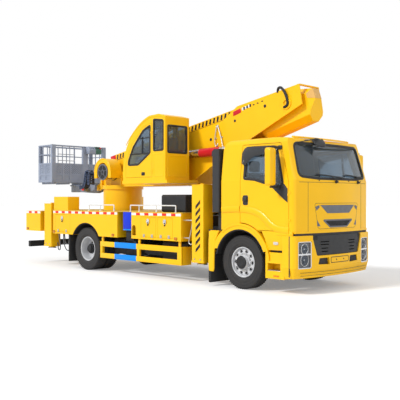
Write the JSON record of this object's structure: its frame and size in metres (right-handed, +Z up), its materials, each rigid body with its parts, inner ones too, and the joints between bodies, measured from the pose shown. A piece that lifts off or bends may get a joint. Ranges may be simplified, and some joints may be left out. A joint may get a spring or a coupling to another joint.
{
  "type": "truck mounted telescopic boom platform",
  "caption": "Truck with a slewing telescopic boom stowed over its cab, an operator's cab beside the boom, outriggers and a work platform over the tail.",
  "frame": {"origin": "on the ground below the middle of the overall length and width", "axes": "+X forward, +Y to the truck's left, +Z up"},
  "size_m": [9.278, 3.09, 3.988],
  "materials": {
    "body_yellow": "gloss paint",
    "structure_black": "satin paint",
    "deck_plate": "chequered plate, painted",
    "rail_white": "satin paint",
    "plastic_black": "grained",
    "plastic_grey": "grained",
    "tyre": "matt",
    "rim_silver": "satin paint",
    "glass_tinted": "clear",
    "lamp_clear": "clear cover",
    "cylinder_steel": "polished",
    "basket_grey": "satin paint",
    "interior_dark": "grained"
  },
  "bodies": {
    "chassis": {"chassis_frame": "structure_black", "axles": "structure_black", "chassis_equipment": "structure_black", "subframe": "structure_black", "slew_pedestal": "body_yellow", "deck": "deck_plate", "lockers": "body_yellow", "side_rails": "rail_white", "mudguards": "body_yellow", "cab_shell": "body_yellow", "cab_glass": "glass_tinted", "cab_interior": "interior_dark", "front_bumper": "body_yellow", "lamps": "lamp_clear", "black_trim": "plastic_black"},
    "cab_door_right": {"cab_door_right": "body_yellow", "door_glass_right": "glass_tinted", "mirror_right": "body_yellow"},
    "cab_door_left": {"cab_door_left": "body_yellow", "door_glass_left": "glass_tinted", "mirror_left": "body_yellow"},
    "knuckle_right": {"knuckle_right": "structure_black"},
    "knuckle_left": {"knuckle_left": "structure_black"},
    "front_wheel_right": {"tyre_front_right": "tyre", "rim_front_right": "rim_silver"},
    "front_wheel_left": {"tyre_front_left": "tyre", "rim_front_left": "rim_silver"},
    "rear_wheels_right": {"tyres_rear_right": "tyre", "rims_rear_right": "rim_silver"},
    "rear_wheels_left": {"tyres_rear_left": "tyre", "rims_rear_left": "rim_silver"},
    "turret": {"turret": "body_yellow", "turret_fittings": "body_yellow", "operator_cab": "body_yellow", "operator_glass": "glass_tinted", "operator_interior": "interior_dark"},
    "operator_door": {"operator_door": "body_yellow", "operator_door_glass": "glass_tinted"},
    "boom_base": {"boom_base": "body_yellow"},
    "boom_second": {"boom_second": "body_yellow"},
    "boom_third": {"boom_third": "body_yellow"},
    "boom_fly": {"boom_fly": "body_yellow"},
    "luff_barrels": {"luff_barrels": "cylinder_steel"},
    "luff_rods": {"luff_rods": "cylinder_steel"},
    "basket_mount": {"basket_mount": "basket_grey"},
    "basket": {"basket": "basket_grey"},
    "outrigger_beam_front_right": {"outrigger_beam_front_right": "body_yellow"},
    "jack_leg_front_right": {"jack_leg_front_right": "cylinder_steel"},
    "outrigger_beam_front_left": {"outrigger_beam_front_left": "body_yellow"},
    "jack_leg_front_left": {"jack_leg_front_left": "cylinder_steel"},
    "outrigger_beam_rear_right": {"outrigger_beam_rear_right": "body_yellow"},
    "jack_leg_rear_right": {"jack_leg_rear_right": "cylinder_steel"},
    "outrigger_beam_rear_left": {"outrigger_beam_rear_left": "body_yellow"},
    "jack_leg_rear_left": {"jack_leg_rear_left": "cylinder_steel"},
    "rear_locker_door_right": {"rear_locker_door_right": "body_yellow"},
    "rear_locker_door_left": {"rear_locker_door_left": "body_yellow"},
    "front_locker_rear_door_right": {"front_locker_rear_door_right": "body_yellow"},
    "front_locker_rear_door_left": {"front_locker_rear_door_left": "body_yellow"},
    "front_locker_front_door_right": {"front_locker_front_door_right": "body_yellow"},
    "front_locker_front_door_left": {"front_locker_front_door_left": "body_yellow"}
  },
  "joints": [
    {"name": "steering_right", "type": "hinge", "parent": "chassis", "child": "knuckle_right", "pos_m": [3.2, -0.85, 0.522], "axis": [0, 0, 1], "range_deg": [-35, 35]},
    {"name": "steering_left", "type": "hinge", "parent": "chassis", "child": "knuckle_left", "pos_m": [3.2, 0.85, 0.522], "axis": [0, 0, 1], "range_deg": [-35, 35]},
    {"name": "front_wheel_spin_right", "type": "hinge", "parent": "knuckle_right", "child": "front_wheel_right", "pos_m": [3.2, -1.05, 0.522], "axis": [0, 1, 0], "continuous": true},
    {"name": "rear_wheel_spin_right", "type": "hinge", "parent": "chassis", "child": "rear_wheels_right", "pos_m": [-1.85, -0.925, 0.522], "axis": [0, 1, 0], "continuous": true},
    {"name": "front_wheel_spin_left", "type": "hinge", "parent": "knuckle_left", "child": "front_wheel_left", "pos_m": [3.2, 1.05, 0.522], "axis": [0, 1, 0], "continuous": true},
    {"name": "rear_wheel_spin_left", "type": "hinge", "parent": "chassis", "child": "rear_wheels_left", "pos_m": [-1.85, 0.925, 0.522], "axis": [0, 1, 0], "continuous": true},
    {"name": "cab_door_hinge_right", "type": "hinge", "parent": "chassis", "child": "cab_door_right", "pos_m": [4.3745, -1.251, 1.9], "axis": [0, 0, 1], "range_deg": [0, 65]},
    {"name": "cab_door_hinge_left", "type": "hinge", "parent": "chassis", "child": "cab_door_left", "pos_m": [4.3745, 1.251, 1.9], "axis": [0, 0, -1], "range_deg": [0, 65]},
    {"name": "slew", "type": "hinge", "parent": "chassis", "child": "turret", "pos_m": [-1.98, 0, 2.05], "axis": [0, 0, 1], "continuous": true},
    {"name": "operator_door_hinge", "type": "hinge", "parent": "turret", "child": "operator_door", "pos_m": [0.6465, -1.277, 2.8], "axis": [0, 0, 1], "range_deg": [0, 80]},
    {"name": "luff", "type": "hinge", "parent": "turret", "child": "boom_base", "pos_m": [3.6, 0, 3.642], "axis": [0, 1, 0], "range_deg": [0, 86]},
    {"name": "telescope_second", "type": "slide", "parent": "boom_base", "child": "boom_second", "axis": [-0.9824, 0, -0.1867], "range_m": [0, 4.6]},
    {"name": "telescope_third", "type": "slide", "parent": "boom_second", "child": "boom_third", "axis": [-0.9824, 0, -0.1867], "range_m": [0, 4.6]},
    {"name": "telescope_fly", "type": "slide", "parent": "boom_third", "child": "boom_fly", "axis": [-0.9824, 0, -0.1867], "range_m": [0, 4.6]},
    {"name": "luff_barrel_hinge", "type": "hinge", "parent": "turret", "child": "luff_barrels", "pos_m": [2.05, 0, 2.77], "axis": [0, 1, 0], "range_deg": [0, 94.9]},
    {"name": "luff_rod_slide", "type": "slide", "parent": "luff_barrels", "child": "luff_rods", "axis": [-0.9997, 0, -0.0246], "range_m": [0, 2.357]},
    {"name": "platform_level", "type": "hinge", "parent": "boom_fly", "child": "basket_mount", "pos_m": [-2.86, 0, 2.04], "axis": [0, 1, 0], "range_deg": [-86, 0]},
    {"name": "platform_swing", "type": "hinge", "parent": "basket_mount", "child": "basket", "pos_m": [-4.1, 0, 2.1], "axis": [0, 0, 1], "range_deg": [-90, 90]},
    {"name": "outrigger_front_right", "type": "slide", "parent": "chassis", "child": "outrigger_beam_front_right", "axis": [0, -1, 0], "range_m": [0, 1.5]},
    {"name": "jack_front_right", "type": "slide", "parent": "outrigger_beam_front_right", "child": "jack_leg_front_right", "axis": [0, 0, -1], "range_m": [0, 0.45]},
    {"name": "outrigger_front_left", "type": "slide", "parent": "chassis", "child": "outrigger_beam_front_left", "axis": [0, 1, 0], "range_m": [0, 1.5]},
    {"name": "jack_front_left", "type": "slide", "parent": "outrigger_beam_front_left", "child": "jack_leg_front_left", "axis": [0, 0, -1], "range_m": [0, 0.45]},
    {"name": "outrigger_rear_right", "type": "slide", "parent": "chassis", "child": "outrigger_beam_rear_right", "axis": [0, -1, 0], "range_m": [0, 1.5]},
    {"name": "jack_rear_right", "type": "slide", "parent": "outrigger_beam_rear_right", "child": "jack_leg_rear_right", "axis": [0, 0, -1], "range_m": [0, 0.45]},
    {"name": "outrigger_rear_left", "type": "slide", "parent": "chassis", "child": "outrigger_beam_rear_left", "axis": [0, 1, 0], "range_m": [0, 1.5]},
    {"name": "jack_rear_left", "type": "slide", "parent": "outrigger_beam_rear_left", "child": "jack_leg_rear_left", "axis": [0, 0, -1], "range_m": [0, 0.45]},
    {"name": "rear_locker_door_hinge_right", "type": "hinge", "parent": "chassis", "child": "rear_locker_door_right", "pos_m": [-2.85, -1.276, 0.9], "axis": [1, 0, 0], "range_deg": [0, 150]},
    {"name": "rear_locker_door_hinge_left", "type": "hinge", "parent": "chassis", "child": "rear_locker_door_left", "pos_m": [-2.85, 1.276, 0.9], "axis": [-1, 0, 0], "range_deg": [0, 150]},
    {"name": "front_locker_rear_door_hinge_right", "type": "hinge", "parent": "chassis", "child": "front_locker_rear_door_right", "pos_m": [0.5175, -1.276, 0.9], "axis": [1, 0, 0], "range_deg": [0, 150]},
    {"name": "front_locker_rear_door_hinge_left", "type": "hinge", "parent": "chassis", "child": "front_locker_rear_door_left", "pos_m": [0.5175, 1.276, 0.9], "axis": [-1, 0, 0], "range_deg": [0, 150]},
    {"name": "front_locker_front_door_hinge_right", "type": "hinge", "parent": "chassis", "child": "front_locker_front_door_right", "pos_m": [1.07, -1.276, 0.9], "axis": [1, 0, 0], "range_deg": [0, 150]},
    {"name": "front_locker_front_door_hinge_left", "type": "hinge", "parent": "chassis", "child": "front_locker_front_door_left", "pos_m": [1.07, 1.276, 0.9], "axis": [-1, 0, 0], "range_deg": [0, 150]}
  ],
  "couplings": [
    {"joint": "steering_left", "follows": "steering_right", "ratio": 1},
    {"joint": "telescope_third", "follows": "telescope_second", "ratio": 1},
    {"joint": "telescope_fly", "follows": "telescope_second", "ratio": 1},
    {"joint": "luff_barrel_hinge", "follows": "luff", "ratio": 1.1017},
    {"joint": "luff_rod_slide", "follows": "luff", "m_per_rad": 1.568},
    {"joint": "platform_level", "follows": "luff", "ratio": -1}
  ]
}
